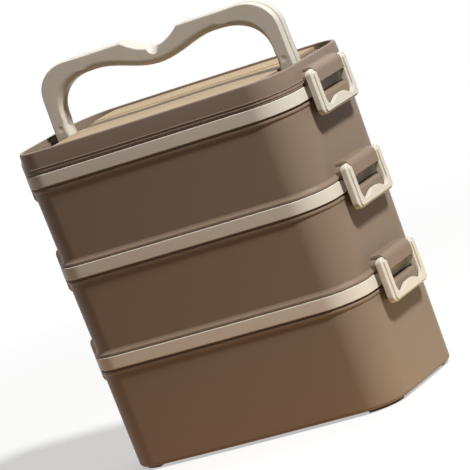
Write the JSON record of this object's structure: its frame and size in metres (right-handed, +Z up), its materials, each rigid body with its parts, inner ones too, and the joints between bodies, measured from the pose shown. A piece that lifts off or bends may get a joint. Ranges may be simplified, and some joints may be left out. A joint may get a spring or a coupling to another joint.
{
  "type": "tiered lunch box",
  "caption": "Tiered oblong lunch box with pale sealing lids between food tiers, swinging end clips, and a folding carry handle over a cover with an inlaid panel.",
  "frame": {"origin": "centre of the footprint on the plane the feet rest on", "axes": "+Z up the stack, +X along the length to the right-hand clips, -Y towards the front"},
  "size_m": [0.2066, 0.1064, 0.2429],
  "materials": {
    "taupe_plastic": "fine matt",
    "warm_grey_plastic": "satin",
    "tan_plastic": "matt",
    "seal_silicone": "soft matt",
    "foot_rubber": "matt",
    "pin_steel": "plain"
  },
  "bodies": {
    "base": {"bottom_tier": "taupe_plastic", "base_foot_front_left": "foot_rubber", "base_foot_front_right": "foot_rubber", "base_foot_back_right": "foot_rubber", "base_foot_back_left": "foot_rubber"},
    "seal_lid_bottom": {"inner_lid_bottom": "warm_grey_plastic", "seal_ring_bottom": "seal_silicone"},
    "tier_middle": {"middle_tier": "taupe_plastic", "clip_pin_bottom_left": "pin_steel", "clip_pin_bottom_right": "pin_steel"},
    "seal_lid_middle": {"inner_lid_middle": "warm_grey_plastic", "seal_ring_middle": "seal_silicone"},
    "tier_top": {"top_tier": "taupe_plastic", "clip_pin_middle_left": "pin_steel", "clip_pin_middle_right": "pin_steel"},
    "seal_lid_top": {"inner_lid_top": "warm_grey_plastic", "seal_ring_top": "seal_silicone"},
    "cover": {"outer_lid": "taupe_plastic", "lid_panel": "tan_plastic", "handle_pivot_left": "pin_steel", "handle_pivot_right": "pin_steel", "clip_pin_top_left": "pin_steel", "clip_pin_top_right": "pin_steel"},
    "handle": {"carry_handle": "warm_grey_plastic"},
    "clip_bottom_left": {"clip_lever_bottom_left": "warm_grey_plastic"},
    "clip_bottom_right": {"clip_lever_bottom_right": "warm_grey_plastic"},
    "clip_middle_left": {"clip_lever_middle_left": "warm_grey_plastic"},
    "clip_middle_right": {"clip_lever_middle_right": "warm_grey_plastic"},
    "clip_top_left": {"clip_lever_top_left": "warm_grey_plastic"},
    "clip_top_right": {"clip_lever_top_right": "warm_grey_plastic"}
  },
  "joints": [
    {"name": "seal_lid_bottom_lift", "type": "slide", "parent": "base", "child": "seal_lid_bottom", "axis": [0, 0, 1], "range_m": [0, 0.025]},
    {"name": "tier_middle_lift", "type": "slide", "parent": "seal_lid_bottom", "child": "tier_middle", "axis": [0, 0, 1], "range_m": [0, 0.04]},
    {"name": "seal_lid_middle_lift", "type": "slide", "parent": "tier_middle", "child": "seal_lid_middle", "axis": [0, 0, 1], "range_m": [0, 0.025]},
    {"name": "tier_top_lift", "type": "slide", "parent": "seal_lid_middle", "child": "tier_top", "axis": [0, 0, 1], "range_m": [0, 0.04]},
    {"name": "seal_lid_top_lift", "type": "slide", "parent": "tier_top", "child": "seal_lid_top", "axis": [0, 0, 1], "range_m": [0, 0.025]},
    {"name": "cover_lift", "type": "slide", "parent": "seal_lid_top", "child": "cover", "axis": [0, 0, 1], "range_m": [0, 0.04]},
    {"name": "handle_fold", "type": "hinge", "parent": "cover", "child": "handle", "pos_m": [0, 0, 0.1945], "axis": [1, 0, 0], "range_deg": [-67, 67]},
    {"name": "clip_bottom_left_swing", "type": "hinge", "parent": "tier_middle", "child": "clip_bottom_left", "pos_m": [-0.1005, 0, 0.07855], "axis": [0, 1, 0], "range_deg": [0, 110]},
    {"name": "clip_bottom_right_swing", "type": "hinge", "parent": "tier_middle", "child": "clip_bottom_right", "pos_m": [0.1005, 0, 0.07855], "axis": [0, -1, 0], "range_deg": [0, 110]},
    {"name": "clip_middle_left_swing", "type": "hinge", "parent": "tier_top", "child": "clip_middle_left", "pos_m": [-0.1005, 0, 0.13625], "axis": [0, 1, 0], "range_deg": [0, 110]},
    {"name": "clip_middle_right_swing", "type": "hinge", "parent": "tier_top", "child": "clip_middle_right", "pos_m": [0.1005, 0, 0.13625], "axis": [0, -1, 0], "range_deg": [0, 110]},
    {"name": "clip_top_left_swing", "type": "hinge", "parent": "cover", "child": "clip_top_left", "pos_m": [-0.1005, 0, 0.19395], "axis": [0, 1, 0], "range_deg": [0, 110]},
    {"name": "clip_top_right_swing", "type": "hinge", "parent": "cover", "child": "clip_top_right", "pos_m": [0.1005, 0, 0.19395], "axis": [0, -1, 0], "range_deg": [0, 110]}
  ]
}
